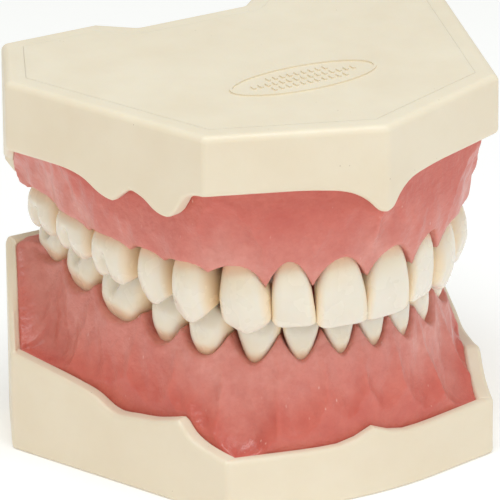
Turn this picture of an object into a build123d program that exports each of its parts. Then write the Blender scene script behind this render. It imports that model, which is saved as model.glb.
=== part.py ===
from build123d import *
import os
from math import atan2, cos, degrees, hypot, pi, sin

# Typodont: a life-size practice model of an upper and a lower jaw. Each jaw is a hard plastic
# base with a ridge that holds sixteen screwed-in teeth, a soft gum mask over the ridge, and a
# flush plate that closes the screw chamber. A steel hinge behind the tongue joins the jaws.
#
# Millimetres. X runs across the jaws, +X on the left side of the mouth, Y runs from the front
# teeth to the back, Z runs up from the table. Sketches start at the front of the upper base
# (Y = 0); the last step moves every piece so that the origin lies under the middle.

# overall size
DEPTH = 62.8
HEIGHT = 60.8
MIDDLE = Location((0, -DEPTH / 2, 0))

# base plans: half outlines from the front to the start of the rear recess
UPPER_CORNER = (26.0, 10.3)
UPPER_SIDE_END = (39.1, 47.0)
LOWER_NOSE = (12.4, 5.2)
LOWER_NOSE_FRONT = 3.6
LOWER_CORNER = (23.8, 7.8)
LOWER_SIDE_END = (38.4, 48.3)
REAR_END = (31.0, DEPTH)
RECESS_MOUTH = 14.5
RECESS_FLOOR = (9.5, 58.2)
CORNER_RADIUS = 1.2
UPPER_EDGE_RADIUS = 1.2
LOWER_EDGE_RADIUS = 0.5

# base sections
WALL = 2.2
TRIM_OUTSIDE = 1.0
TRIM_INSIDE = 0.4
COVER_THICKNESS = 2.0
COVER_INSET = 3.3
COVER_LEDGE = 2.0
COVER_GAP = 0.06
CHAMBER_DEPTH = 3.0
WEB = 3.0
UPPER_BLOCK_BOTTOM = 44.0
LOWER_BLOCK_TOP = 17.0
UPPER_REAR_BOTTOM = 38.7
LOWER_REAR_TOP = 29.0

# wall edges: (share of the wall's length, height), and (distance from the midline, height) for
# the front and rear walls
UPPER_RIGHT_EDGE = (
    (0, 51.2), (0.1, 50.3), (0.2, 46.3), (0.3, 48.0), (0.37, 48.9),
    (0.47, 46.5), (0.56, 47.4), (0.67, 49.3), (1, 49.6),
)
UPPER_LEFT_EDGE = ((0, 51.2), (0.12, 51.0), (0.3, 50.2), (0.5, 49.8), (1, 49.6))
UPPER_BEVEL_EDGE = ((0, 49.6), (0.35, 47.6), (0.75, 43.4), (1, 41.6))
UPPER_FRONT_EDGE = ((0, 46.9), (2.5, 48.6), (5.5, 50.6), (9, 51.1), (26, 51.2))
UPPER_REAR_EDGE = (
    (15, UPPER_BLOCK_BOTTOM), (19, 40.2), (24, UPPER_REAR_BOTTOM), (27.8, UPPER_REAR_BOTTOM), (31.5, 41.8),
)
LOWER_RIGHT_EDGE = (
    (0, 9.1), (0.13, 10.3), (0.2, 12.4), (0.235, 13.4), (0.3, 12.3), (0.5, 11.2), (0.63, 13.2), (1, 16.0),
)
LOWER_LEFT_EDGE = (
    (0, 9.1), (0.13, 10.6), (0.2, 12.9), (0.235, 14.0), (0.3, 13.4), (0.5, 12.8), (0.63, 13.9), (1, 16.0),
)
LOWER_BEVEL_EDGE = ((0, 16.0), (0.3, 18.8), (0.7, 26.6), (1, LOWER_REAR_TOP))
LOWER_FRONT_EDGE = ((0, 10.8), (2.2, 10.1), (4.5, 9.2), (8, 9.0), (23.8, 9.1))
LOWER_REAR_EDGE = (
    (15, LOWER_BLOCK_TOP), (19, 24), (23, 28), (26.6, LOWER_REAR_TOP), (31.5, LOWER_REAR_TOP),
)

# raised label on the upper cover: an oval rim around rows of short bars
LABEL_OVAL = (12.6, 5.2)
LABEL_RIM = 0.45
LABEL_RISE = 0.25
LABEL_Y = 24.5
LABEL_ROWS = ((2.0, 9), (0.0, 15), (-2.0, 11))
LABEL_BAR = (0.45, 1.1)
LABEL_PITCH = 1.25

# dental arches: half width, front, reach, side power, back power of a superellipse
UPPER_ARCH = (25.3, 7.0, 50.0, 2.2, 3.55)
LOWER_ARCH = (23.6, 10.3, 49.0, 2.2, 3.3)
ARCH_STEPS = 400
BAND_STATIONS = (0.0, 4.0, 9.0, 14.0, 19.0, 25.0, 32.0, 40.0, 49.0)
BAND_GROWTH = 25.0

# teeth from the midline back: name, crown width, crown depth, neck shift, peg radius
UPPER_TEETH = [
    ("central_incisor", 8.6, 6.8, 2.2, 2.2),
    ("lateral_incisor", 6.8, 6.0, 1.8, 1.9),
    ("canine", 8.0, 7.6, 1.6, 2.3),
    ("first_premolar", 6.6, 9.0, 0.0, 2.3),
    ("second_premolar", 6.4, 9.0, 0.0, 2.3),
    ("first_molar", 9.4, 10.8, 0.0, 3.0),
    ("second_molar", 10.0, 10.6, 0.0, 3.0),
    ("third_molar", 8.8, 9.8, 0.0, 2.8),
]
LOWER_TEETH = [
    ("central_incisor", 5.6, 5.6, 1.4, 1.55),
    ("lateral_incisor", 6.1, 5.8, 1.4, 1.7),
    ("canine", 7.0, 7.2, 1.2, 2.1),
    ("first_premolar", 6.9, 7.6, 0.0, 2.1),
    ("second_premolar", 7.0, 8.2, 0.0, 2.2),
    ("first_molar", 10.4, 9.8, 0.0, 3.0),
    ("second_molar", 9.6, 9.6, 0.0, 3.0),
    ("third_molar", 8.6, 9.2, 0.0, 2.8),
]
FRONT_TEETH = 3
UPPER_TIPS = (27.3, 28.0, 26.9)
LOWER_TIPS = (29.4, 29.3, 29.5)
MOLARS_FROM = 5

# crown sections: share of the height, of the width, of the depth, of the neck shift
FRONT_CROWN = ((0.0, 0.70, 0.88, 1.0), (0.4, 0.92, 0.80, 0.65), (0.8, 1.0, 0.42, 0.1), (1.0, 0.86, 0.2, 0.0))
BACK_CROWN = ((0.0, 0.78, 0.80, 0.0), (0.45, 1.0, 1.0, 0.0), (1.0, 0.94, 0.84, 0.0))
CROWN_ROUNDING = 0.46
TOOTH_GAP = 0.1
SLOT_OUTWARD = 9.0
SLOT_INWARD = 8.0

# the bite: upper buccal cusps follow a curve that climbs towards the back
CUSP_START = 15.0
CUSP_LENGTH = 35.0
CUSP_LOW = 26.9
CUSP_RISE = 5.2
CUSP_POWER = 1.7
CUSP_HEIGHT = 2.2
CUSP_SPACING = 2.7
CUSP_SHOULDER = 0.4
CUSP_INSET = 1.2
GROOVE_REACH = 1.6
GROOVE_DEPTH = 1.1
BITE_GAP = 0.35

# gum lines
UPPER_GUM_LINE = 38.6
LOWER_GUM_LINE = 21.2
LOWER_GUM_SLOPE = 0.11

# ridge and gum mask
RIDGE_FRONT = (0.6, -6.2)
RIDGE_BACK = 5.0
RIDGE_COVER = 3.2
RIDGE_END = 57.8
FIT = 0.08

# gum mask sections: height, offset from the arch at the front and at the back
UPPER_GUM_OUTSIDE = ((38.0, 1.2, 5.6), (44.0, 2.6, 8.0), (52.8, 5.5, 13.0))
UPPER_GUM_PALATE = ((37.0, -7.5, -5.6), (43.0, -9.5, -8.5), (50.8, -16.0, -16.0))
LOWER_GUM_OUTSIDE = ((8.0, 5.5, 13.0), (14.0, 3.4, 9.8), (30.0, 1.0, 4.4))
LOWER_GUM_TONGUE = ((10.0, -10.0, -9.5), (32.0, -6.4, -5.0))
GUM_CREST = 0.5
GUM_BACK = 1.5

# tooth screws
SCREW_RADIUS = 0.8
SCREW_HEAD_RADIUS = 1.5
SCREW_HEAD = 1.6
SCREW_PLAY = 0.1
SCREW_GRIP = 6.0
PEG_END_MARGIN = 2.4
PEG_OVERLAP = 0.5
DRIVE_SLOT = (2.0, 0.4, 1.6)

# hinge
PIN_Y = 60.6
PIN_Z = 35.0
PIN_RADIUS = 1.0
PIN_CLEARANCE = 0.04
PIN_HEAD_RADIUS = 1.7
PIN_HEAD = 0.8
KNUCKLE_RADIUS = 2.0
KNUCKLE_GAP = 0.15
LEAF_WIDTH = 18.0
LEAF_THICKNESS = 1.6
MIDDLE_KNUCKLE = 8.8
LEAF_RELIEF = 2.5
LOWER_LEAF_BOTTOM = 3.0
UPPER_LEAF_TOP = 57.0
BLOCK_HALF_WIDTH = 12.0
BLOCK_FRONT = 50.0
LEAF_SCREW_X = 5.5
LOWER_LEAF_SCREWS = (9.5, 13.8)
UPPER_LEAF_SCREWS = (46.8, 51.0)
LEAF_SCREW_RADIUS = 1.0
LEAF_SCREW_HEAD = 2.0
LEAF_SCREW_LENGTH = 6.0
LEAF_SCREW_SLOT = (2.6, 0.9, 0.5)

# levels that follow from the sizes above
CHAMBER_TOP = COVER_THICKNESS + CHAMBER_DEPTH
LOWER_WELL = CHAMBER_TOP + WEB
UPPER_WELL = HEIGHT - LOWER_WELL
FAR = 200.0


# ---------------------------------------------------------------- plan outlines

def mirrored(points):
    """A closed outline from its +X half, listed from the front to the back."""
    other_half = [(-x, y) for x, y in reversed(points) if x > 0]
    return points + other_half


def upper_outline():
    """Plan of the upper base: a pointed front, angled sides and a rear recess."""
    half = [(0, 0), UPPER_CORNER, UPPER_SIDE_END, REAR_END, (RECESS_MOUTH, DEPTH), RECESS_FLOOR]
    face = make_face(Polyline(mirrored(half), close=True))
    return fillet(face.vertices(), CORNER_RADIUS)


def lower_outline():
    """Plan of the lower base: a bowed front, angled sides and a rear recess."""
    half = [LOWER_NOSE, LOWER_CORNER, LOWER_SIDE_END, REAR_END, (RECESS_MOUTH, DEPTH), RECESS_FLOOR]
    sides = Polyline(mirrored(half))
    left = (-LOWER_NOSE[0], LOWER_NOSE[1])
    nose = ThreePointArc(left, (0, LOWER_NOSE_FRONT), LOWER_NOSE)
    face = make_face([sides, nose])
    corners = face.vertices().filter_by(lambda corner: corner.Y > LOWER_NOSE[1] + 1)
    return fillet(corners, CORNER_RADIUS)


def inset(face, distance):
    """The same plan, smaller all round, with sharp corners."""
    return offset(face, -distance, kind=Kind.INTERSECTION)


# ---------------------------------------------------------------- dental arch

def arch_points(arch):
    """Close points along the +X half of an arch, from the midline to the back."""
    half_width, front, reach, side_power, back_power = arch
    points = []
    for step in range(ARCH_STEPS + 1):
        turn = pi / 2 * step / ARCH_STEPS
        x = half_width * sin(turn) ** (2 / side_power)
        y = front + reach * (1 - cos(turn) ** (2 / back_power))
        points.append((x, y))
    points.append((half_width, front + reach + FAR))
    return points


def arch_station(arch, distance):
    """The point of an arch at a distance from the midline."""
    points = arch_points(arch)
    for (x0, y0), (x1, y1) in zip(points, points[1:]):
        length = hypot(x1 - x0, y1 - y0)
        if distance <= length:
            share = distance / length
            return x0 + (x1 - x0) * share, y0 + (y1 - y0) * share
        distance -= length


def arch_normal(arch, distance):
    """The outward direction at a station of an arch."""
    if distance == 0:
        return 0.0, -1.0
    x0, y0 = arch_station(arch, max(distance - 0.5, 0.0))
    x1, y1 = arch_station(arch, distance + 0.5)
    length = hypot(x1 - x0, y1 - y0)
    return (y1 - y0) / length, (x0 - x1) / length


def tooth_slot(upper, index):
    """One tooth's share of the arch, between its contact points, as a tall prism."""
    arch = UPPER_ARCH if upper else LOWER_ARCH
    teeth = UPPER_TEETH if upper else LOWER_TEETH
    start = sum(tooth[1] for tooth in teeth[:index])
    outside = []
    inside = []
    for distance, side in ((start, 1), (start + teeth[index][1], -1)):
        across, back = arch_normal(arch, distance)
        x, y = arch_station(arch, distance)
        x -= side * back * TOOTH_GAP / 2
        y += side * across * TOOTH_GAP / 2
        outside.append((x + SLOT_OUTWARD * across, y + SLOT_OUTWARD * back))
        inside.append((x - SLOT_INWARD * across, y - SLOT_INWARD * back))
    face = make_face(Polyline(outside + inside[::-1], close=True))
    return extrude(face, amount=HEIGHT)


def tooth_places(arch, teeth):
    """The frame of each +X tooth: local X runs distally and local Y towards the tongue."""
    places = []
    distance = 0.0
    for tooth in teeth:
        x0, y0 = arch_station(arch, distance)
        distance += tooth[1]
        x1, y1 = arch_station(arch, distance)
        places.append(((x0 + x1) / 2, (y0 + y1) / 2, atan2(y1 - y0, x1 - x0)))
    return places


def band_edge(arch, front_offset, back_offset, back):
    """Points beside an arch, offset outwards by an amount that grows towards the back."""
    edge = []
    for distance in BAND_STATIONS:
        share = min(distance / BAND_GROWTH, 1.0)
        away = front_offset + (back_offset - front_offset) * share
        x, y = arch_station(arch, distance)
        across, back_along = arch_normal(arch, distance)
        edge.append((x + away * across, y + away * back_along))
    edge.append((edge[-1][0], back))
    return edge


def arch_shape(arch, front_offset, back_offset, back):
    """A D-shaped plan: the offset arch closed by a straight back."""
    half = band_edge(arch, front_offset, back_offset, back)
    points = [(-x, y) for x, y in reversed(half)] + half[1:]
    curve = Spline(points)
    return make_face([curve, Line(points[-1], points[0])])


# ---------------------------------------------------------------- heights

def cusp_line(y):
    """Height of the upper buccal cusps at a distance from the front."""
    share = min(max((y - CUSP_START) / CUSP_LENGTH, 0.0), 1.0)
    return CUSP_LOW + CUSP_RISE * (1 - (1 - share) ** CUSP_POWER)


def lower_gum_line(y):
    """Height of the lower tooth necks at a distance from the front."""
    return LOWER_GUM_LINE + LOWER_GUM_SLOPE * (y - LOWER_ARCH[1])


def above_slope(height, slope, start):
    """Everything above a plane that rises towards the back."""
    tilt = degrees(atan2(slope, 1))
    block = Box(FAR, FAR, FAR, align=(Align.CENTER, Align.CENTER, Align.MIN))
    return Pos(0, start, height) * Rot(X=tilt) * block


# ---------------------------------------------------------------- teeth

def crown(sections, width, depth, shift, neck, tip):
    """A crown lofted through its sections from the neck to the tip."""
    outlines = []
    for height, width_share, depth_share, shift_share in sections:
        across = width_share * width
        deep = depth_share * depth
        outline = RectangleRounded(across, deep, CROWN_ROUNDING * min(across, deep))
        outlines.append(Pos(0, shift_share * shift, neck + height * (tip - neck)) * outline)
    return loft(outlines)


def cusp_profile(valley, side, floor):
    """Two cusps and the groove between them, drawn across the arch, as a long prism."""
    peak = valley + side * CUSP_HEIGHT
    shoulder = valley + side * CUSP_SHOULDER * CUSP_HEIGHT
    low = valley - side * CUSP_HEIGHT
    foot = 2 * CUSP_SPACING - CUSP_INSET
    edge = 4 * CUSP_SPACING
    half = [(CUSP_SPACING, peak), (foot, shoulder), (edge, low), (edge, floor)]
    other_half = [(-y, z) for y, z in reversed(half)]
    face = make_face(Polyline([(0, valley)] + half + other_half, close=True))
    return extrude(Plane.YZ * face, amount=FAR, both=True)


def cross_groove(peak, side):
    """The groove that parts the front cusps of a molar from its back ones."""
    above = peak + side * GROOVE_DEPTH
    deepest = peak - side * GROOVE_DEPTH
    face = make_face(Polyline((-GROOVE_REACH, above), (0, deepest), (GROOVE_REACH, above), close=True))
    return extrude(Plane.XZ * face, amount=FAR, both=True)


def back_crown(upper, index, y, width, depth, neck):
    """A premolar or molar crown with its cusps cut."""
    side = -1 if upper else 1
    valley = cusp_line(y) + CUSP_HEIGHT if upper else cusp_line(y) - BITE_GAP
    peak = valley + side * CUSP_HEIGHT
    shape = crown(BACK_CROWN, width, depth, 0, neck, peak) & cusp_profile(valley, side, neck - side * FAR)
    return shape - cross_groove(peak, side) if index >= MOLARS_FROM else shape


def tooth(upper, index, place, grow=0.0):
    """One +X tooth in its place, with its peg, before its screw bore."""
    x, y, heading = place
    width, depth, shift, peg_radius = (UPPER_TEETH if upper else LOWER_TEETH)[index][1:]
    width += grow - TOOTH_GAP
    depth += grow
    neck = UPPER_GUM_LINE if upper else lower_gum_line(y)
    toward_crown = -1 if upper else 1
    if index < FRONT_TEETH:
        tip = (UPPER_TIPS if upper else LOWER_TIPS)[index]
        shape = crown(FRONT_CROWN, width, depth, shift, neck, tip)
    else:
        shape = back_crown(upper, index, y, width, depth, neck)
    peg_start = neck + toward_crown * PEG_OVERLAP
    peg_height = abs(peg_start - peg_level(upper))
    peg_middle = (peg_start + peg_level(upper)) / 2
    peg = Pos(0, shift, peg_middle) * Cylinder(peg_radius + grow / 2, peg_height)
    frame = Location((x, y, 0), (0, 0, degrees(heading)))
    if grow:
        return frame * (shape + peg)
    return (frame * shape & tooth_slot(upper, index)) + frame * peg


def clear_of_bite(lower_tooth, index, upper_teeth):
    """A lower tooth with room for the upper cusps that close on it."""
    for opposite in upper_teeth[max(index - 1, 0):index + 2]:
        lower_tooth -= Pos(0, 0, -BITE_GAP) * opposite
        lower_tooth -= opposite
    return lower_tooth.solids().sort_by(SortBy.VOLUME)[-1]


def peg_level(upper):
    """Height of the buried ends of the tooth pegs."""
    return UPPER_WELL - PEG_END_MARGIN if upper else LOWER_WELL + PEG_END_MARGIN


def screw_axis(upper, index, place):
    """Plan position of a tooth's screw on the +X side."""
    x, y, heading = place
    shift = (UPPER_TEETH if upper else LOWER_TEETH)[index][3]
    return x - shift * sin(heading), y + shift * cos(heading)


def screw_bore(upper, axis, radius, start, end):
    """A straight round bore between two heights."""
    height = abs(end - start)
    return Pos(axis[0], axis[1], (start + end) / 2) * Cylinder(radius, height)


def tooth_screw(upper, axis):
    """A cheese-head screw with a cross drive, its head in the chamber."""
    inward = -1 if upper else 1
    seat = HEIGHT - CHAMBER_TOP if upper else CHAMBER_TOP
    tip = peg_level(upper) + inward * SCREW_GRIP
    head_end = seat - inward * SCREW_HEAD
    screw = screw_bore(upper, axis, SCREW_RADIUS, seat, tip)
    screw += screw_bore(upper, axis, SCREW_HEAD_RADIUS, seat, head_end)
    for turn in (0, 90):
        screw -= Pos(axis[0], axis[1], head_end) * Rot(Z=turn) * Box(*DRIVE_SLOT)
    return screw


# ---------------------------------------------------------------- bases

def wall_trim(start, end, levels, upper):
    """What is cut away beyond the wavy edge of one straight wall on the +X side."""
    length = hypot(end[0] - start[0], end[1] - start[1])
    along = ((end[0] - start[0]) / length, (end[1] - start[1]) / length, 0)
    outward = (along[1], -along[0], 0)
    plane = Plane(origin=(start[0], start[1], 0), x_dir=along, z_dir=outward)
    points = [(share * length, level) for share, level in levels]
    edge = Spline(points)
    far = -FAR if upper else FAR
    rest = Polyline(points[-1], (length, far), (0, far), points[0])
    face = plane * make_face([edge, rest])
    return extrude(face, amount=TRIM_OUTSIDE) + extrude(face, amount=-(WALL + TRIM_INSIDE))


def side_trims(start, end, right_levels, left_levels, upper):
    """What is cut away beyond the edges of the right and left side walls."""
    right = mirror(wall_trim(start, end, right_levels, upper), about=Plane.YZ)
    return right + wall_trim(start, end, left_levels, upper)


def front_trim(half_levels, corner, upper):
    """What is cut away beyond the edge of the front wall."""
    far = -FAR if upper else FAR
    half_width = corner[0] + TRIM_OUTSIDE
    level = half_levels[-1][1]
    points = [(-x, z) for x, z in reversed(half_levels)] + list(half_levels[1:])
    right = [points[-1], (half_width, level), (half_width, far)]
    left = [(-x, z) for x, z in reversed(right)]
    face = Plane.XZ * make_face([Spline(points), Polyline(right + left)])
    return extrude(face, amount=-(corner[1] + 2 * WALL))


def rear_trim(levels, upper):
    """What is cut away beyond the edge of the rear wall."""
    points = [(-x, z) for x, z in reversed(levels)] + list(levels)
    far = -FAR if upper else FAR
    outline = points + [(points[-1][0], far), (points[0][0], far)]
    face = Plane.XZ * make_face(Polyline(outline, close=True))
    return Pos(0, RECESS_FLOOR[1] - WALL - TRIM_OUTSIDE, 0) * extrude(face, amount=-FAR)


def both_sides(solid):
    """A piece and its mirror image across the midline."""
    return solid + mirror(solid, about=Plane.YZ)


def shell(outline, upper):
    """The walls, the web over the screw chamber and the ledge for the cover plate."""
    top = HEIGHT if upper else LOWER_REAR_TOP
    bottom = UPPER_REAR_BOTTOM if upper else 0.0
    body = Pos(0, 0, bottom) * extrude(outline, amount=top - bottom)
    outer_edges = body.faces().sort_by(Axis.Z)[-1 if upper else 0].edges()
    body = fillet(outer_edges, UPPER_EDGE_RADIUS if upper else LOWER_EDGE_RADIUS)
    well = extrude(inset(outline, WALL), amount=FAR)
    chamber = extrude(inset(outline, COVER_INSET + COVER_LEDGE), amount=CHAMBER_TOP)
    plate_seat = extrude(inset(outline, COVER_INSET), amount=COVER_THICKNESS)
    if upper:
        body -= Pos(0, 0, UPPER_WELL - FAR) * well
        body -= Pos(0, 0, HEIGHT - CHAMBER_TOP) * chamber
        body -= Pos(0, 0, HEIGHT - COVER_THICKNESS) * plate_seat
    else:
        body -= Pos(0, 0, LOWER_WELL) * well
        body -= chamber
        body -= plate_seat
    return body


def ridge(arch, upper):
    """The hard alveolar ridge that the tooth pegs stand in."""
    outer = arch_shape(arch, RIDGE_FRONT[0], RIDGE_BACK, RIDGE_END)
    inner = arch_shape(arch, RIDGE_FRONT[1], -RIDGE_BACK, RIDGE_END + 1)
    band = extrude(outer, amount=FAR) - extrude(inner, amount=FAR)
    if upper:
        band = Pos(0, 0, UPPER_GUM_LINE + RIDGE_COVER) * band
        return band - above_slope(UPPER_WELL, 0, 0)
    band = Pos(0, 0, LOWER_WELL) * band
    return band - above_slope(LOWER_GUM_LINE - RIDGE_COVER, LOWER_GUM_SLOPE, arch[1])


def hinge_block(upper):
    """The solid block behind the recess that the hinge leaf is screwed to."""
    low = UPPER_BLOCK_BOTTOM if upper else LOWER_WELL
    high = UPPER_WELL if upper else LOWER_BLOCK_TOP
    block = Box(2 * BLOCK_HALF_WIDTH, RECESS_FLOOR[1] - BLOCK_FRONT, high - low)
    block = Pos(0, (RECESS_FLOOR[1] + BLOCK_FRONT) / 2, (low + high) / 2) * block
    return block


def upper_walls():
    """The upper shell with its wavy lower edge."""
    body = shell(upper_outline(), True)
    body -= side_trims(UPPER_CORNER, UPPER_SIDE_END, UPPER_RIGHT_EDGE, UPPER_LEFT_EDGE, True)
    body -= both_sides(wall_trim(UPPER_SIDE_END, REAR_END, UPPER_BEVEL_EDGE, True))
    body -= front_trim(UPPER_FRONT_EDGE, UPPER_CORNER, True)
    return body - rear_trim(UPPER_REAR_EDGE, True)


def lower_walls():
    """The lower shell with its wavy upper edge."""
    body = shell(lower_outline(), False)
    body -= side_trims(LOWER_CORNER, LOWER_SIDE_END, LOWER_RIGHT_EDGE, LOWER_LEFT_EDGE, False)
    body -= both_sides(wall_trim(LOWER_SIDE_END, REAR_END, LOWER_BEVEL_EDGE, False))
    body -= front_trim(LOWER_FRONT_EDGE, LOWER_CORNER, False)
    return body - rear_trim(LOWER_REAR_EDGE, False)


def base(upper, places):
    """A whole base: walls, ridge, hinge block, tooth sockets and screw holes."""
    arch = UPPER_ARCH if upper else LOWER_ARCH
    body = (upper_walls() if upper else lower_walls()) + ridge(arch, upper) + hinge_block(upper)
    seat = HEIGHT - CHAMBER_TOP if upper else CHAMBER_TOP
    for index, place in enumerate(places):
        axis = screw_axis(upper, index, place)
        socket = tooth(upper, index, place, grow=2 * FIT)
        hole = screw_bore(upper, axis, SCREW_RADIUS + SCREW_PLAY, seat, peg_level(upper))
        body -= both_sides(socket + hole)
    for axis in leaf_screw_axes(upper):
        body -= leaf_screw_bore(axis, LEAF_SCREW_RADIUS)
    return body


def label():
    """A plain raised label: an oval rim around rows of short bars."""
    length, width = LABEL_OVAL
    rim = Ellipse(length, width) - Ellipse(length - LABEL_RIM, width - LABEL_RIM)
    marks = extrude(rim, amount=LABEL_RISE)
    bar = extrude(Rectangle(*LABEL_BAR), amount=LABEL_RISE)
    for row, count in LABEL_ROWS:
        for place in GridLocations(LABEL_PITCH, 1, count, 1):
            marks += Pos(0, row, 0) * place * bar
    return Pos(0, LABEL_Y, HEIGHT) * marks


def cover_plate(upper):
    """The flush plate that closes the screw chamber."""
    outline = upper_outline() if upper else lower_outline()
    plate = extrude(inset(outline, COVER_INSET + COVER_GAP), amount=COVER_THICKNESS)
    if upper:
        plate = Pos(0, 0, HEIGHT - COVER_THICKNESS) * plate + label()
    return plate


# ---------------------------------------------------------------- gum masks

def gum_block(arch, sections, back):
    """A solid lofted through D-shaped plans beside an arch."""
    return loft([Pos(0, 0, height) * arch_shape(arch, front, rear, back) for height, front, rear in sections])


def upper_gum(places, body):
    """The soft gum over the upper ridge, open at the palate."""
    outer = gum_block(UPPER_ARCH, UPPER_GUM_OUTSIDE, DEPTH - WALL - GUM_BACK)
    palate = gum_block(UPPER_ARCH, UPPER_GUM_PALATE, DEPTH)
    room = extrude(inset(upper_outline(), WALL + FIT), amount=FAR)
    return finish_gum((outer & room) - palate, True, places, body)


def lower_gum(places, body):
    """The soft gum over the lower ridge, open at the tongue."""
    outer = gum_block(LOWER_ARCH, LOWER_GUM_OUTSIDE, DEPTH - WALL - GUM_BACK)
    tongue = gum_block(LOWER_ARCH, LOWER_GUM_TONGUE, DEPTH)
    room = extrude(inset(lower_outline(), WALL + FIT), amount=FAR)
    mask = (outer & room) - tongue
    mask -= above_slope(LOWER_GUM_LINE + GUM_CREST, LOWER_GUM_SLOPE, LOWER_ARCH[1])
    return finish_gum(mask, False, places, body)


def finish_gum(mask, upper, places, body):
    """Takes the base and the teeth out of a gum mask."""
    mask -= body
    for index, place in enumerate(places):
        mask -= both_sides(tooth(upper, index, place, grow=2 * FIT))
    return mask.solids().sort_by(SortBy.VOLUME)[-1]


# ---------------------------------------------------------------- hinge

def leaf_screw_axes(upper):
    """Positions of the four screws of a hinge leaf."""
    heights = UPPER_LEAF_SCREWS if upper else LOWER_LEAF_SCREWS
    return [(x, z) for x in (-LEAF_SCREW_X, LEAF_SCREW_X) for z in heights]


def leaf_screw_bore(axis, radius):
    """A bore for a leaf screw, running forwards from the back of the leaf."""
    back = RECESS_FLOOR[1] + LEAF_THICKNESS
    bore = Rot(X=90) * Cylinder(radius, LEAF_SCREW_LENGTH)
    return Pos(axis[0], back - LEAF_SCREW_LENGTH / 2, axis[1]) * bore


def leaf_screw_head(axis):
    """The countersunk head of a leaf screw."""
    back = RECESS_FLOOR[1] + LEAF_THICKNESS
    depth = LEAF_SCREW_HEAD - LEAF_SCREW_RADIUS
    cone = Rot(X=90) * Cone(LEAF_SCREW_HEAD, LEAF_SCREW_RADIUS, depth)
    return Pos(axis[0], back - depth / 2, axis[1]) * cone


def leaf_screws(upper):
    """The four countersunk screws of a hinge leaf."""
    screws = []
    back = RECESS_FLOOR[1] + LEAF_THICKNESS
    for axis in leaf_screw_axes(upper):
        screw = leaf_screw_bore(axis, LEAF_SCREW_RADIUS) + leaf_screw_head(axis)
        screws.append(screw - Pos(axis[0], back, axis[1]) * Box(*LEAF_SCREW_SLOT))
    return screws


def knuckle(x0, x1, clearance):
    """One barrel of the hinge between two places across the jaws."""
    barrel = Rot(Y=90) * Cylinder(KNUCKLE_RADIUS, x1 - x0)
    bore = Rot(Y=90) * Cylinder(PIN_RADIUS + clearance, x1 - x0 + 1)
    return Pos((x0 + x1) / 2, PIN_Y, PIN_Z) * (barrel - bore)


def leaf_plate(x0, x1, z0, z1):
    """A flat stretch of a hinge leaf."""
    plate = Box(x1 - x0, LEAF_THICKNESS, z1 - z0)
    return Pos((x0 + x1) / 2, RECESS_FLOOR[1] + LEAF_THICKNESS / 2, (z0 + z1) / 2) * plate


def pin_room(clearance):
    """The space that the pin takes through a leaf."""
    return Pos(0, PIN_Y, PIN_Z) * (Rot(Y=90) * Cylinder(PIN_RADIUS + clearance, LEAF_WIDTH + 2))


def hinge_leaf(upper):
    """A steel leaf with its knuckles: two outer ones below, one middle one above."""
    half = LEAF_WIDTH / 2
    middle = MIDDLE_KNUCKLE / 2
    if upper:
        leaf = leaf_plate(-half, half, PIN_Z + LEAF_RELIEF, UPPER_LEAF_TOP)
        leaf += leaf_plate(-middle, middle, PIN_Z, PIN_Z + LEAF_RELIEF)
        leaf += knuckle(-middle, middle, PIN_CLEARANCE)
        leaf -= pin_room(PIN_CLEARANCE)
    else:
        leaf = leaf_plate(-half, half, LOWER_LEAF_BOTTOM, PIN_Z - LEAF_RELIEF)
        for side in (-1, 1):
            inner, outer = sorted((side * (middle + KNUCKLE_GAP), side * half))
            leaf += leaf_plate(inner, outer, PIN_Z - LEAF_RELIEF, PIN_Z)
            leaf += knuckle(inner, outer, 0)
        leaf -= pin_room(0)
    for axis in leaf_screw_axes(upper):
        leaf -= leaf_screw_bore(axis, LEAF_SCREW_RADIUS)
        leaf -= leaf_screw_head(axis)
    return leaf


def hinge_pin():
    """The headed pin through all three knuckles."""
    pin = Rot(Y=90) * Cylinder(PIN_RADIUS, LEAF_WIDTH)
    for side in (-1, 1):
        head = Rot(Y=90) * Cylinder(PIN_HEAD_RADIUS, PIN_HEAD)
        pin += Pos(side * (LEAF_WIDTH + PIN_HEAD) / 2, 0, 0) * head
    return Pos(0, PIN_Y, PIN_Z) * pin


# ---------------------------------------------------------------- export

def save(name, shape):
    """Writes one node, moved to the object's own frame."""
    solids = [MIDDLE * solid for piece in shape for solid in piece.solids()]
    node = solids[0] if len(solids) == 1 else Compound(children=solids)
    export_step(node, f"parts/{name}.step")


def jaw(upper):
    """Builds and writes every piece of one jaw."""
    prefix = "upper" if upper else "lower"
    teeth = UPPER_TEETH if upper else LOWER_TEETH
    places = tooth_places(UPPER_ARCH if upper else LOWER_ARCH, teeth)
    bore_start = peg_level(upper) + (PEG_OVERLAP if upper else -PEG_OVERLAP)
    bore_end = peg_level(upper) + (-SCREW_GRIP if upper else SCREW_GRIP)
    upper_places = tooth_places(UPPER_ARCH, UPPER_TEETH)
    upper_teeth = [tooth(True, index, place) for index, place in enumerate(upper_places)]
    screws = []
    for index, place in enumerate(places):
        axis = screw_axis(upper, index, place)
        left = tooth(upper, index, place)
        if not upper:
            left = clear_of_bite(left, index, upper_teeth)
        left -= screw_bore(upper, axis, SCREW_RADIUS, bore_start, bore_end)
        save(f"{prefix}_left_{teeth[index][0]}", [left])
        save(f"{prefix}_right_{teeth[index][0]}", [mirror(left, about=Plane.YZ)])
        screw = tooth_screw(upper, axis)
        screws += [screw, mirror(screw, about=Plane.YZ)]
    body = base(upper, places)
    gum = upper_gum(places, body) if upper else lower_gum(places, body)
    save(f"{prefix}_base", [body])
    save(f"{prefix}_gum_mask", [gum])
    save(f"{prefix}_cover_plate", [cover_plate(upper)])
    save(f"{prefix}_tooth_screws", screws)
    save(f"{prefix}_hinge_leaf", [hinge_leaf(upper)])
    save(f"{prefix}_hinge_screws", leaf_screws(upper))


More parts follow.
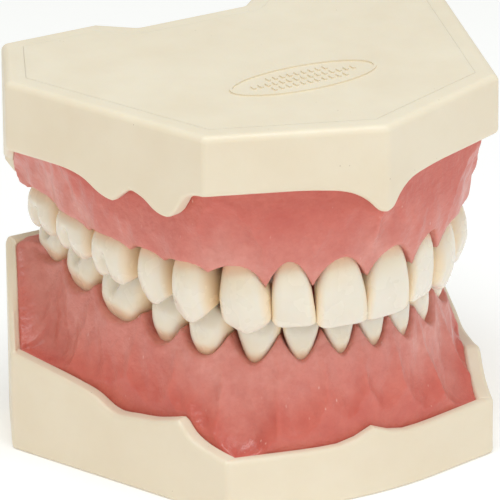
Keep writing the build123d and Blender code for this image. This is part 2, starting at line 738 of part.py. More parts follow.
os.makedirs("parts", exist_ok=True)
jaw(upper=False)
jaw(upper=True)
save("hinge_pin", [hinge_pin()])
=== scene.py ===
from math import atan2, cos, radians, sin

import bmesh
import bpy
import numpy as np
from mathutils import Matrix, Vector


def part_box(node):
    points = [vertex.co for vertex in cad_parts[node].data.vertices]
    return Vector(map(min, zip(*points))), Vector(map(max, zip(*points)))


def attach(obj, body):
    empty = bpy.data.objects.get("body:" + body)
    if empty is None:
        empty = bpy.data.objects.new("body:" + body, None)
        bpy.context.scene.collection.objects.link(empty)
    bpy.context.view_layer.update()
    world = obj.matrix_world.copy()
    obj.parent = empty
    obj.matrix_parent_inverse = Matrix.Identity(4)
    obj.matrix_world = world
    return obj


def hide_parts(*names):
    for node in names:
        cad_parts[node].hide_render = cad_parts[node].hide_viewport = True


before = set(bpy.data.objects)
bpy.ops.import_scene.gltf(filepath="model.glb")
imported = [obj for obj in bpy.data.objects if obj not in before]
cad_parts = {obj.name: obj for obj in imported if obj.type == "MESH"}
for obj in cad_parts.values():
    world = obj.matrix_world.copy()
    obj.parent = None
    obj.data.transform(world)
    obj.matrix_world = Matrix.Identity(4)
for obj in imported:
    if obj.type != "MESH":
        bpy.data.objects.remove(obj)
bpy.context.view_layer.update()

# The looks of the typodont: moulded ivory bases, silicone gum masks and anatomic teeth, built
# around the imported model. Shapes are worked out in millimetres in the plan that the CAD model
# uses (Y = 0 at the front of the upper base), and moved into the row frame by place().

MM = 0.001
DEPTH = 62.8
UPPER_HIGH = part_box("upper_base")[1]
FRONT = UPPER_HIGH.y - DEPTH * MM
FLAT = {"upper": UPPER_HIGH.z / MM, "lower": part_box("lower_base")[0].z / MM}
RISE = {"upper": -1, "lower": 1}
JAWS = ("upper", "lower")


def place(points):
    """Row-frame metres from plan millimetres."""
    return np.asarray(points, float) * MM + np.array([0.0, FRONT, 0.0])


# ---------------------------------------------------------------- numeric helpers

RELAX_IN = 0.5
RELAX_OUT = -0.51


def curve_through(points):
    """A smooth function through a few (position, value) pairs, flat beyond its ends."""
    at = np.array([p[0] for p in points], float)
    value = np.array([p[1] for p in points], float)
    secant = np.diff(value) / np.diff(at)
    slope = np.zeros(len(at))
    slope[1:-1] = np.where(secant[:-1] * secant[1:] > 0, (secant[:-1] + secant[1:]) / 2, 0)
    slope[0] = secant[0]
    slope[-1] = secant[-1]
    limit = 3 * np.minimum(np.abs(np.r_[secant, secant[-1]]), np.abs(np.r_[secant[0], secant]))
    slope = np.clip(slope, -limit, limit)

    def curve(position):
        position = np.clip(position, at[0], at[-1])
        k = np.clip(np.searchsorted(at, position) - 1, 0, len(at) - 2)
        span = at[k + 1] - at[k]
        t = (position - at[k]) / span
        low = (1 + 2 * t) * (1 - t) ** 2 * value[k] + t * (1 - t) ** 2 * span * slope[k]
        high = t * t * (3 - 2 * t) * value[k + 1] - t * t * (1 - t) * span * slope[k + 1]
        return low + high

    return curve


def smooth_max(a, b, width):
    """The larger of two fields, rounded where they cross."""
    share = np.clip(0.5 + 0.5 * (a - b) / width, 0, 1)
    return b + (a - b) * share + width * share * (1 - share)


def smooth_min(a, b, width):
    """The smaller of two fields, rounded where they cross."""
    return -smooth_max(-a, -b, width)


def ramp(value, low, high):
    """A smooth step from 0 to 1."""
    t = np.clip((value - low) / (high - low), 0, 1)
    return t * t * (3 - 2 * t)


def bell(value, centre, width):
    """A bump of height 1."""
    return np.exp(-((value - centre) / width) ** 2)


def grid(low, high, step):
    """Grid coordinates of a box, as three arrays that broadcast together."""
    x, y, z = (np.arange(a, b + step, step) for a, b in zip(low, high))
    return x[:, None, None], y[None, :, None], z[None, None, :]


def edge_ends(cells, axis, shifts):
    """Slices to the two ends of one edge of every cell; the edge runs along an axis."""
    start = [slice(0, c) for c in cells]
    for other, shift in shifts:
        start[other] = slice(shift, cells[other] + shift)
    end = list(start)
    end[axis] = slice(1, cells[axis] + 1)
    return tuple(start), tuple(end)


def net_points(values, low, step):
    """One vertex in each cell that the surface passes, and the cells' vertex numbers."""
    cells = tuple(n - 1 for n in values.shape)
    total = np.zeros(cells + (3,), np.float32)
    count = np.zeros(cells, np.float32)
    for axis in range(3):
        first, second = [a for a in range(3) if a != axis]
        for u, v in ((0, 0), (0, 1), (1, 0), (1, 1)):
            start, end = edge_ends(cells, axis, ((first, u), (second, v)))
            a, b = values[start], values[end]
            cross = (a < 0) != (b < 0)
            count += cross
            total[..., axis] += np.where(cross, a / np.where(cross, a - b, 1), 0)
            total[..., first] += cross * u
            total[..., second] += cross * v
    active = count > 0
    number = np.full(cells, -1, np.int64)
    number[active] = np.arange(active.sum())
    middle = np.argwhere(active) + total[active] / count[active][:, None]
    return np.array(low) + step * middle, number


def net_quads(inside, number):
    """A quad round each grid edge whose ends lie on different sides of the surface."""
    quads = []
    for axis in range(3):
        first, second = (axis + 1) % 3, (axis + 2) % 3
        change = np.argwhere(np.diff(inside, axis=axis))
        keep = np.ones(len(change), bool)
        for other in (first, second):
            keep &= (change[:, other] > 0) & (change[:, other] < inside.shape[other] - 1)
        change = change[keep]
        corners = []
        for u, v in ((1, 1), (0, 1), (0, 0), (1, 0)):
            cell = change.copy()
            cell[:, first] -= u
            cell[:, second] -= v
            corners.append(number[tuple(cell.T)])
        quads.append(np.stack(corners, axis=1))
    return np.concatenate(quads)


def surface_net(values, low, step):
    """Vertices and quads of a field's zero level; the field is negative inside."""
    values = values.astype(np.float32)
    points, number = net_points(values, low, step)
    return points, net_quads(values < 0, number)


def relax(points, quads, rounds):
    """Evens out a net: each round moves the vertices towards their neighbours and out again."""
    edges = np.concatenate([quads[:, [k, (k + 1) % 4]] for k in range(4)])
    count = np.bincount(edges.ravel(), minlength=len(points))[:, None]
    for pull in (RELAX_IN, RELAX_OUT) * rounds:
        total = np.zeros_like(points)
        np.add.at(total, edges[:, 0], points[edges[:, 1]])
        np.add.at(total, edges[:, 1], points[edges[:, 0]])
        points = points + pull * (total / count - points)
    return points


def add_mesh(name, points, faces):
    """A mesh object in the row frame from plan millimetres."""
    mesh = bpy.data.meshes.new(name)
    mesh.from_pydata(place(points).tolist(), [], faces)
    mesh.validate()
    mesh.update()
    mesh.polygons.foreach_set("use_smooth", [True] * len(mesh.polygons))
    piece = bpy.data.objects.new(name, mesh)
    bpy.context.scene.collection.objects.link(piece)
    return piece


def finish_piece(piece, body, slot, material, *nodes):
    """Gives one piece its material, attaches it to its body and hides the CAD nodes it stands in for."""
    piece.data.materials.append(material)
    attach(piece, body)
    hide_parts(*nodes)
    return piece


# ---------------------------------------------------------------- dental arches

# half width, front, reach to the back, and the two powers of the curve; past its end an arch runs
# straight on, and a tooth's direction is taken from a chord to each side of its middle
ARCHES = {"upper": (25.3, 7.0, 50.0, 2.2, 3.55), "lower": (23.6, 10.3, 49.0, 2.2, 3.3)}
ARCH_POINTS = 801
ARCH_TAIL = 30
WALK_STEP = 0.1
CHORD = 0.8
CHUNK = 4000


class Arch:
    """Half of a dental arch in plan, walked from the midline to the back."""

    def __init__(self, half_width, front, reach, side_power, back_power):
        turn = np.linspace(0, np.pi / 2, ARCH_POINTS)
        x = half_width * np.sin(turn) ** (2 / side_power)
        y = front + reach * (1 - np.cos(turn) ** (2 / back_power))
        x = np.append(x, half_width)
        y = np.append(y, front + reach + ARCH_TAIL)
        length = np.r_[0, np.cumsum(np.hypot(np.diff(x), np.diff(y)))]
        self.walk = np.arange(0, length[-1], WALK_STEP)
        self.x = np.interp(self.walk, length, x)
        self.y = np.interp(self.walk, length, y)

    def spot(self, distance):
        """The point of the arch at a distance from the midline, mirrored for negative ones."""
        x = np.interp(abs(distance), self.walk, self.x) * (1 if distance > 0 else -1)
        return np.array([x, np.interp(abs(distance), self.walk, self.y)])

    def station(self, distance):
        """Place and outward direction at a distance from the midline."""
        along = self.spot(distance + CHORD) - self.spot(distance - CHORD)
        along /= np.linalg.norm(along)
        return self.spot(distance), np.array([along[1], -along[0]])

    def map(self, x, y):
        """Distance along the arch and outward offset of every point of a plan grid."""
        flat_x = np.abs(x).ravel()
        flat_y = y.ravel()
        along = np.empty(len(flat_x))
        offset = np.empty(len(flat_x))
        tangent_x = np.gradient(self.x)
        tangent_y = np.gradient(self.y)
        norm = np.hypot(tangent_x, tangent_y)
        for start in range(0, len(flat_x), CHUNK):
            part = slice(start, start + CHUNK)
            dx = flat_x[part, None] - self.x[None, :]
            dy = flat_y[part, None] - self.y[None, :]
            near = np.argmin(dx * dx + dy * dy, axis=1)
            row = np.arange(len(near))
            side = dx[row, near] * tangent_y[near] - dy[row, near] * tangent_x[near]
            reach = np.hypot(dx[row, near], dy[row, near])
            step = (dx[row, near] * tangent_x[near] + dy[row, near] * tangent_y[near]) / norm[near]
            along[part] = self.walk[near] + np.clip(step, -WALK_STEP / 2, WALK_STEP / 2)
            offset[part] = np.sign(side) * reach
        return along.reshape(x.shape), offset.reshape(x.shape)


# ---------------------------------------------------------------- teeth

# name, width, neck level, tip level, kind, millimetres outwards, lean (degrees, crown outwards)
# and slant (degrees, crown towards the midline)
UPPER_TEETH = [
    ("central_incisor", 8.6, 38.8, 27.3, "incisor", 0.1, 0, 2),
    ("lateral_incisor", 6.8, 38.9, 27.9, "incisor", 0.1, 0, 4),
    ("canine", 8.0, 38.2, 26.7, "canine", 0.7, -2, 7),
    ("first_premolar", 6.6, 38.2, 28.0, "premolar", 0.3, 0, 4),
    ("second_premolar", 6.4, 38.6, 29.2, "premolar", 0.2, 0, 3),
    ("first_molar", 9.4, 38.6, 30.6, "molar", 0.3, 1, 2),
    ("second_molar", 10.0, 38.7, 31.5, "molar", 0.2, 2, 1),
    ("third_molar", 8.8, 39.4, 32.0, "molar", 0.0, 2, 0),
]
LOWER_TEETH = [
    ("central_incisor", 5.6, 22.2, 29.5, "incisor", 1.0, -8, 0),
    ("lateral_incisor", 6.1, 21.9, 29.4, "incisor", 1.0, -7, 1),
    ("canine", 7.0, 21.5, 29.6, "canine", 0.7, -5, 4),
    ("first_premolar", 6.9, 22.3, 30.2, "premolar", 0.4, -4, 2),
    ("second_premolar", 7.0, 22.7, 31.0, "premolar", 0.3, -5, 2),
    ("first_molar", 10.4, 24.2, 32.4, "molar", 0.3, -7, 2),
    ("second_molar", 9.6, 25.8, 33.4, "molar", 0.2, -8, 2),
    ("third_molar", 8.6, 27.4, 33.6, "molar", 0.0, -8, 0),
]
TEETH = {"upper": UPPER_TEETH, "lower": LOWER_TEETH}
# sections of each kind from root to tip: half width in shares of the width, outer and inner
# surface in millimetres from the arch line; stations are shares of the crown's height
STATIONS = (-0.5, 0.0, 0.15, 0.3, 0.5, 0.75, 1.0)
PROFILES = {
    "upper": {
        "incisor": (
            (0.25, 0.29, 0.35, 0.405, 0.455, 0.49, 0.505),
            (-0.2, 0.7, 1.25, 1.5, 1.5, 1.2, 0.6),
            (-4.6, -5.4, -5.1, -4.3, -3.1, -1.5, -0.6),
        ),
        "canine": (
            (0.27, 0.355, 0.405, 0.45, 0.495, 0.485, 0.33),
            (0.0, 1.2, 1.9, 2.35, 2.55, 2.1, 1.0),
            (-4.8, -5.8, -5.7, -5.2, -4.3, -2.8, -1.2),
        ),
        "premolar": (
            (0.33, 0.40, 0.435, 0.462, 0.49, 0.495, 0.42),
            (2.4, 3.4, 4.0, 4.4, 4.5, 3.9, 2.7),
            (-3.0, -3.8, -4.2, -4.5, -4.7, -4.3, -3.2),
        ),
        "molar": (
            (0.38, 0.435, 0.458, 0.476, 0.492, 0.50, 0.46),
            (3.6, 4.5, 5.1, 5.4, 5.4, 4.9, 3.9),
            (-3.8, -4.6, -5.0, -5.3, -5.4, -5.0, -4.0),
        ),
    },
    "lower": {
        "incisor": (
            (0.17, 0.225, 0.29, 0.355, 0.43, 0.485, 0.505),
            (-0.2, 0.5, 0.9, 1.1, 1.1, 0.85, 0.5),
            (-4.0, -4.8, -4.5, -3.9, -2.8, -1.4, -0.6),
        ),
        "canine": (
            (0.20, 0.26, 0.32, 0.385, 0.465, 0.50, 0.38),
            (0.2, 1.2, 1.7, 2.0, 2.1, 1.7, 0.8),
            (-4.4, -5.2, -5.1, -4.6, -3.7, -2.4, -1.1),
        ),
        "premolar": (
            (0.25, 0.33, 0.395, 0.44, 0.485, 0.50, 0.43),
            (2.0, 2.9, 3.5, 3.9, 4.0, 3.4, 2.3),
            (-2.4, -3.1, -3.5, -3.8, -4.0, -3.8, -3.0),
        ),
        "molar": (
            (0.32, 0.40, 0.44, 0.465, 0.49, 0.50, 0.46),
            (3.3, 4.1, 4.7, 5.0, 4.9, 4.3, 3.2),
            (-3.3, -4.0, -4.6, -5.0, -5.1, -4.8, -3.8),
        ),
    },
}
# cusps: share of the width along the arch, millimetres along and outwards, rise above the tip
# and steepness
SIDE_CUSPS = ((-0.40, 0, 0, -1.7, 0.8), (0.40, 0, 0, -1.7, 0.8))
MOLAR_CUSPS = (
    (-0.22, 0, 3.0, 0.55, 0.74), (0.28, 0, 2.9, 0.40, 0.74), (-0.20, 0, -3.0, -0.1, 0.72),
    (0.26, 0, -3.0, -0.4, 0.72), (-0.43, 0, 0, -1.4, 0.8), (0.43, 0, 0, -1.4, 0.8),
)
CUSPS = {
    "upper": {
        "premolar": ((0, -0.1, 2.5, 0.62, 0.78), (0, 0.1, -2.3, -0.4, 0.75), *SIDE_CUSPS),
        "molar": MOLAR_CUSPS,
    },
    "lower": {
        "premolar": ((0, -0.1, 2.5, 0.62, 0.78), (0, 0.1, -2.3, -1.2, 0.75), *SIDE_CUSPS),
        "molar": MOLAR_CUSPS,
    },
}
CUSP_SOFTNESS = 0.28
CUSP_BLUNTNESS = 0.5
# slopes of a canine's edge and drop of an incisor's corners, both away from and towards the
# midline, then the tilt and the faint waves of an incisor's edge
CANINE_SLOPES = (0.62, 0.50)
INCISOR_CORNERS = (1.0, 0.35)
INCISOR_TILT = 0.12
INCISOR_WAVE = 0.03
# how square a crown is outside and inside, and how round the edge of its biting surface
SQUARENESS = {"incisor": (3.6, 2.0), "canine": (2.5, 2.0), "premolar": (2.6, 2.4), "molar": (3.6, 3.2)}
TIP_ROUNDING = {"incisor": 0.38, "canine": 0.45, "premolar": 0.40, "molar": 0.40}
# depths of the grooves, hollows and ridges, then where a root is cut off inside the gum, the
# cell size and reach of a tooth's grid, and the air between neighbours
BUCCAL_GROOVE = 1.5
LINGUAL_GROOVE = 0.6
PALATAL_HOLLOW = 0.6
LOBE_GROOVE = 0.07
MIDDLE_RIDGE = 0.16
RIDGE_FLUTE = 0.14
ROOT_END = -4.5
TOOTH_STEP = 0.24
TOOTH_REACH = 7.0
TOOTH_GAP = 0.02


def cusp_field(x, y, cusps):
    """The biting surface as the smooth union of rounded cones: place, height and steepness."""
    total = 0
    for cusp_x, cusp_y, height, steep in cusps:
        reach = np.sqrt((x - cusp_x) ** 2 + (y - cusp_y) ** 2 + CUSP_BLUNTNESS)
        total = total + np.exp((height - steep * reach) / CUSP_SOFTNESS)
    return CUSP_SOFTNESS * np.log(total)


def biting_surface(jaw, kind, width, high, x, y):
    """Height of the top of a crown over its plan."""
    half = width / 2
    if kind == "incisor":
        across = x / half
        corner = np.where(x > 0, *INCISOR_CORNERS) * np.clip(np.abs(across), 0, 1.2) ** 6
        return high - corner - INCISOR_TILT * across - INCISOR_WAVE * np.cos(across * 2.5 * np.pi)
    if kind == "canine":
        slope = np.where(x > 0, *CANINE_SLOPES)
        return high - slope * (np.sqrt(x * x + CUSP_BLUNTNESS) - 0.7) - 0.3 * np.abs(y - 0.1)
    cusps = [(share * width + along, out, high + rise, steep)
             for share, along, out, rise, steep in CUSPS[jaw][kind]]
    return cusp_field(x, y, cusps)


def pair_of_grooves(x, offset):
    """Two shallow grooves, one on each side of the crown's middle."""
    return bell(x, -offset, 0.7) + bell(x, offset, 0.7)


def crown_relief(kind, width, x, share, outside):
    """What the grooves and ridges of a crown take away from its sides."""
    if kind == "molar":
        buccal = bell(x, 0.05 * width, 0.85) * ramp(share, 0.28, 0.68)
        lingual = bell(x, 0.02 * width, 0.7) * ramp(share, 0.45, 0.8)
        return BUCCAL_GROOVE * buccal * outside + LINGUAL_GROOVE * lingual * (1 - outside)
    if kind == "incisor":
        lobes = pair_of_grooves(x, 0.17 * width) * ramp(share, 0.35, 0.8)
        hollow = bell(x, 0, 0.28 * width) * bell(share, 0.62, 0.28)
        return LOBE_GROOVE * lobes + PALATAL_HOLLOW * hollow * (1 - outside)
    ridge = bell(x, 0, 0.9) * ramp(share, 0.3, 0.75) * outside
    flutes = pair_of_grooves(x, 0.27 * width) * ramp(share, 0.4, 0.8)
    return RIDGE_FLUTE * flutes - MIDDLE_RIDGE * ridge


def tooth_field(jaw, kind, width, high, x, y, z):
    """A tooth in its own frame: X distal, Y outwards, Z from the neck to the tip."""
    share = z / high
    curves = [curve_through(list(zip(STATIONS, values))) for values in PROFILES[jaw][kind]]
    half_share, outer, inner = (curve(share) for curve in curves)
    half = width * half_share
    depth = (outer - inner) / 2
    middle = (outer + inner) / 2
    power = np.where(y > middle, *SQUARENESS[kind])
    reach = ((np.abs(x) / half) ** power + (np.abs(y - middle) / depth) ** power) ** (1 / power)
    side = (reach - 1) * np.minimum(half, depth)
    side = side + crown_relief(kind, width, x, share, ramp(y - middle, 0.0, 1.2))
    top = (z - biting_surface(jaw, kind, width, high, x, y)) * 0.8
    return smooth_max(smooth_max(side, top, TIP_ROUNDING[kind]), ROOT_END - z, 1.0)


def make_tooth(jaw, side, row, arch, start, material):
    """One tooth, from its field in its own frame to its place in the arch."""
    name, width, neck, tip, kind, out, lean, slant = row
    high = abs(tip - neck)
    low = (-width / 2 - 1, -TOOTH_REACH, ROOT_END - 0.7)
    x, y, z = grid(low, (width / 2 + 1, TOOTH_REACH, high + 1.6), TOOTH_STEP)
    field = tooth_field(jaw, kind, width - TOOTH_GAP, high, x, y, z)
    points, quads = surface_net(field, low, TOOTH_STEP)
    points = relax(points, quads, 1)
    spot, outward = arch.station(start + width / 2)
    along = np.array([-outward[1], outward[0]])
    turn = Matrix.Rotation(radians(-slant), 3, "Y") @ Matrix.Rotation(radians(-lean), 3, "X")
    turned = points @ np.array(turn).T
    plan = spot + turned[:, :1] * along + (turned[:, 1:2] + out) * outward
    world = np.column_stack([plan, neck + RISE[jaw] * turned[:, 2]])
    if side == "right":
        world[:, 0] *= -1
    node = f"{jaw}_{side}_{name}"
    piece = add_mesh(f"{node}_crown", world, quads.tolist())
    store(piece, "crown_height", np.clip(points[:, 2] / high, -0.5, 1.1))
    store(piece, "contact", np.abs(points[:, 0]) / (width / 2))
    fix_normals(piece)
    return finish_piece(piece, f"{jaw}_jaw", "tooth", material, node)


def store(piece, name, values):
    """Keeps one number per vertex for the materials."""
    layer = piece.data.attributes.new(name, "FLOAT", "POINT")
    layer.data.foreach_set("value", values.astype(np.float32))


def fix_normals(piece):
    """Turns a closed mesh's faces outwards."""
    work = bmesh.new()
    work.from_mesh(piece.data)
    bmesh.ops.recalc_face_normals(work, faces=work.faces)
    work.to_mesh(piece.data)
    work.free()


# ---------------------------------------------------------------- bases

# wall thickness, insets of the cover plate's seat and of the ledge under it, and depths from the
# flat face: the plate, the chamber under it and the floor of the well that holds the gum
WALL_SIDE = 2.7
WALL_FRONT = 1.9
WALL_BEVEL = 1.6
SEAT_INSET = 3.34
COVER_LEDGE = 5.3
COVER_THICKNESS = 2.0
CHAMBER = 5.0
WELL = 8.0
# height of the lower rear wall, and the depth of the part of the plan that counts as the rear
LOWER_REAR = 29.0
REAR_BAND = 5.5
# half plans from the middle of the front to the middle of the recess in the rear, and how round
# their corners are
CORNERS = {
    "upper": [(0, 0), (26.0, 10.3), (39.1, 47.0), (31.0, DEPTH), (14.5, DEPTH), (9.5, 58.2)],
    "lower": [(0, 2.4), (23.8, 7.8), (38.4, 48.3), (31.0, DEPTH), (14.5, DEPTH), (9.5, 58.2)],
}
ROUNDING = {
    "upper": [1.6, 1.3, 1.4, 1.4, 1.2, 1.2],
    "lower": [54.0, 1.4, 1.4, 1.4, 1.2, 1.2],
}
# wavy wall edges: the front by distance from the midline, the right and left sides by distance
# from the front corner, the bevels by share of their length, the rear by distance from the midline
EDGE = {
    "upper": (
        [(0, 47.0), (1.3, 47.3), (2.7, 48.8), (4.2, 49.9), (6, 50.6), (9, 51.0), (14, 51.2), (27, 51.2)],
        [(0, 51.2), (2.4, 50.9), (4.2, 49.9), (5.6, 47.6), (7.7, 46.3), (9.6, 46.7), (12, 48.2),
         (14.5, 48.9), (16.3, 47.8), (18.2, 46.4), (20.5, 46.9), (24, 48.7), (29, 49.5), (39, 49.6)],
        [(0, 51.2), (4.7, 51.0), (11.7, 50.2), (19.5, 49.8), (39, 49.6)],
        [(0, 49.6), (0.35, 47.8), (0.7, 44.2), (1, 41.8)],
        [(0, 45), (15, 45), (19, 40.6), (24, 38.9), (27.8, 38.9), (31.5, 41.8)],
    ),
    "lower": (
        [(0, 10.9), (1.2, 10.7), (3, 9.7), (5, 9.15), (9, 9.0), (24, 9.1)],
        [(0, 9.1), (3, 9.6), (5.8, 10.4), (7.8, 11.5), (9.8, 13.4), (11.6, 12.9), (15, 12.0), (19, 11.5),
         (21.6, 11.2), (23.5, 11.6), (26.3, 13.0), (30, 13.9), (38, 15.2), (43.1, 16.0)],
        [(0, 9.1), (3, 9.7), (5.8, 10.8), (7.8, 12.2), (9.8, 14.0), (12, 13.6), (16, 13.1), (21, 12.8),
         (26.3, 13.7), (30, 14.2), (38, 15.3), (43.1, 16.0)],
        [(0, 16.0), (0.3, 18.8), (0.7, 26.0), (1, LOWER_REAR)],
        [(0, 17), (14, 17), (18, 22), (22, 28), (25, LOWER_REAR), (31.5, LOWER_REAR)],
    ),
}
# the hinge block: half its width, its front and back, and its bottom and top in each jaw
BLOCK_HALF = 12.0
BLOCK_FRONT = 50.0
BLOCK_BACK = 57.4
BLOCK_LEVELS = {"upper": (45.3, 53.3), "lower": (7.5, 16.7)}
BLOCK_ROUNDING = 0.6
# roundings: the edge of the flat face, the wavy edge of the wall, and the least plan rounding
FACE_ROUNDING = {"upper": 1.15, "lower": 0.6}
LIP = 0.8
TIGHTEST = 0.35
COVER_SEAM = 0.06
SHARP_ANGLE = 35
PER_SIDE = 60
PER_CORNER = 8


def moved_sides(corners, sides):
    """Each side of a plan moved in by its own amount: a point and a direction."""
    lines = []
    for k, corner in enumerate(corners):
        along = (corners[(k + 1) % len(corners)] - corner).normalized()
        lines.append((corner + Vector((-along.y, along.x)) * sides[k], along))
    return lines


def corner_arc(before, after, rounding, inset):
    """Points of the rounded corner between two sides."""
    (p, u), (q, v) = before, after
    turn = u.x * v.y - u.y * v.x
    corner = p + u * (((q.x - p.x) * v.y - (q.y - p.y) * v.x) / turn)
    side = 1 if turn > 0 else -1
    sweep = abs(atan2(turn, u.dot(v)))
    radius = max(rounding - inset * side, TIGHTEST)
    arm = Vector((u.y, -u.x)) * radius * side
    centre = corner - u * (radius * np.tan(sweep / 2)) - arm
    arc = []
    for step in range(PER_CORNER + 1):
        angle = side * sweep * step / PER_CORNER
        arc.append(centre + Vector((arm.x * cos(angle) - arm.y * sin(angle),
                                    arm.x * sin(angle) + arm.y * cos(angle))))
    return arc


def outline(jaw, insets):
    """The base plan moved in by an amount for each side, with rounded corners, as a loop."""
    half = CORNERS[jaw]
    corners = [Vector(p) for p in half] + [Vector((-x, y)) for x, y in reversed(half[1:])]
    rounding = ROUNDING[jaw] + ROUNDING[jaw][:0:-1]
    sides = list(insets) + list(insets)[-2::-1]
    lines = moved_sides(corners, sides)
    arcs = [corner_arc(lines[k - 1], lines[k], rounding[k], min(sides[k - 1], sides[k]))
            for k in range(len(corners))]
    points = []
    for arc, following in zip(arcs, arcs[1:] + arcs[:1]):
        points += arc
        points += [arc[-1].lerp(following[0], step / PER_SIDE) for step in range(1, PER_SIDE)]
    return np.array([tuple(p) for p in points])


def edge_levels(jaw, loop):
    """Height of the wavy edge at each column of a loop."""
    front, right, left, bevel, rear = (curve_through(part) for part in EDGE[jaw])
    corner, side_end, rear_end = (np.array(point, float) for point in CORNERS[jaw][1:4])
    length = np.linalg.norm(side_end - corner)
    along = (side_end - corner) / length
    bevel_along = rear_end - side_end
    levels = []
    for x, y in loop:
        point = np.array([abs(x), y])
        run = np.dot(point - corner, along)
        share = np.dot(point - side_end, bevel_along) / np.dot(bevel_along, bevel_along)
        if y > DEPTH - REAR_BAND and (share > 0.999 or abs(x) < rear_end[0] - 0.1):
            level = rear(abs(x))
        elif run > length:
            level = bevel(share)
        elif run > 0.3 and abs(x) > corner[0] - 1.5:
            level = left(run) if x > 0 else right(run)
        else:
            level = front(abs(x))
        levels.append(float(level))
    return np.array(levels)


def even(inset):
    """The same inset for all six kinds of side."""
    return (inset,) * 6


def wall_insets(share):
    """Insets of the wall's section, from 0 outside to 1 inside."""
    side = WALL_SIDE * share
    return (WALL_FRONT * share, side, WALL_BEVEL * share, side, side, side)


def quarter(steps):
    """Cosine and sine over a quarter turn."""
    turn = np.linspace(0, np.pi / 2, steps)
    return zip(np.cos(turn), np.sin(turn))


def base_rings(jaw):
    """Pairs of insets and heights: seat, flat face, rounded edge, wall, wavy edge and well."""
    flat = FLAT[jaw]
    up = RISE[jaw]
    levels = edge_levels(jaw, outline(jaw, even(0)))
    edge = FACE_ROUNDING[jaw]
    rings = [
        (even(COVER_LEDGE), flat + up * CHAMBER),
        (even(COVER_LEDGE), flat + up * COVER_THICKNESS),
        (even(SEAT_INSET), flat + up * COVER_THICKNESS),
        (even(SEAT_INSET), flat + up * COVER_SEAM),
        (even(SEAT_INSET - 0.05), flat),
    ]
    rings += [(even(edge * (1 - s)), flat + up * edge * (1 - c)) for c, s in quarter(7)]
    rings.append((even(0), levels - up * (LIP + 0.4)))
    rings += [(even(LIP * (1 - c)), levels - up * LIP * (1 - s)) for c, s in quarter(6)]
    rings += [(wall_insets(1 - 0.8 * LIP * (1 - s) / WALL_SIDE), levels - up * LIP * (1 - c))
              for c, s in quarter(6)]
    rings.append((wall_insets(1), flat + up * WELL))
    return rings


def make_base(jaw, material):
    """A base as a stack of rings, with its hinge block."""
    stack = []
    for insets, height in base_rings(jaw):
        loop = outline(jaw, insets)
        stack.append(np.column_stack([loop, np.broadcast_to(height, len(loop))]))
    columns = len(stack[0])
    last = (len(stack) - 1) * columns
    faces = [tuple(range(columns)), tuple(range(last, last + columns))]
    for row in range(0, last, columns):
        for column in range(columns):
            beside = (column + 1) % columns
            faces.append((row + column, row + beside, row + columns + beside, row + columns + column))
    piece = add_mesh(f"{jaw}_base_moulding", np.concatenate(stack), faces)
    add_hinge_block(piece, *BLOCK_LEVELS[jaw])
    fix_normals(piece)
    mark_sharp(piece, SHARP_ANGLE)
    return finish_piece(piece, f"{jaw}_jaw", "base_plastic", material, f"{jaw}_base")


def add_hinge_block(piece, low, high):
    """The solid block behind the rear wall that the leaf screws bite into."""
    work = bmesh.new()
    work.from_mesh(piece.data)
    size = np.array([2 * BLOCK_HALF, BLOCK_BACK - BLOCK_FRONT, high - low])
    centre = np.array([0.0, (BLOCK_BACK + BLOCK_FRONT) / 2, (low + high) / 2])
    corners = bmesh.ops.create_cube(work, size=1.0)["verts"]
    for corner in corners:
        corner.co = place(np.array(corner.co) * size + centre)
    edges = {edge for corner in corners for edge in corner.link_edges}
    bmesh.ops.bevel(work, geom=list(edges), offset=BLOCK_ROUNDING * MM, segments=4, affect="EDGES")
    for face in work.faces:
        face.smooth = True
    work.to_mesh(piece.data)
    work.free()


def mark_sharp(piece, limit):
    """Marks the edges steeper than a limit sharp and weights the normals by area."""
    work = bmesh.new()
    work.from_mesh(piece.data)
    for edge in work.edges:
        edge.smooth = not edge.is_manifold or edge.calc_face_angle(0) < radians(limit)
    work.to_mesh(piece.data)
    work.free()
    weigh = piece.modifiers.new("even_normals", "WEIGHTED_NORMAL")
    weigh.keep_sharp = True


# ---------------------------------------------------------------- gum masks

def polygon_distance(loop, x, y):
    """Signed distance of plan points to a loop, negative inside, and the nearest column."""
    flat = np.column_stack([x.ravel(), y.ravel()])
    ahead = np.roll(loop, -1, axis=0)
    run = ahead - loop
    length = np.maximum((run ** 2).sum(1), 1e-9)
    distance = np.empty(len(flat))
    nearest = np.empty(len(flat), int)
    for start in range(0, len(flat), CHUNK):
        part = slice(start, start + CHUNK)
        arm = flat[part, None, :] - loop[None]
        share = np.clip((arm * run[None]).sum(2) / length[None], 0, 1)
        gap = np.hypot(*np.moveaxis(arm - share[..., None] * run[None], 2, 0))
        nearest[part] = gap.argmin(1)
        distance[part] = gap.min(1)
    inside = np.zeros(len(flat), bool)
    for a, b in zip(loop, ahead):
        crosses = (a[1] > flat[:, 1]) != (b[1] > flat[:, 1])
        with np.errstate(divide="ignore", invalid="ignore"):
            at = a[0] + (flat[:, 1] - a[1]) * (b[0] - a[0]) / (b[1] - a[1])
        inside ^= crosses & (flat[:, 0] < at)
    distance[inside] *= -1
    return distance.reshape(x.shape), nearest.reshape(x.shape)


def along_teeth(table, values):
    """A smooth function along the arch through one value per tooth."""
    widths = [row[1] for row in table]
    centres = [sum(widths[:k]) + widths[k] / 2 for k in range(len(widths))]
    pairs = [(-centres[0], values[0])] + list(zip(centres, values)) + [(centres[-1] + 12, values[-1])]
    return curve_through(pairs)


def tooth_share(table, along):
    """Distance from the middle of the nearest tooth, in shares of its width."""
    widths = np.array([row[1] for row in table])
    ends = np.cumsum(widths)
    index = np.clip(np.searchsorted(ends, along), 0, len(table) - 1)
    middle = ends[index] - widths[index] / 2
    return np.clip((along - middle) / widths[index], -0.5, 1.5)


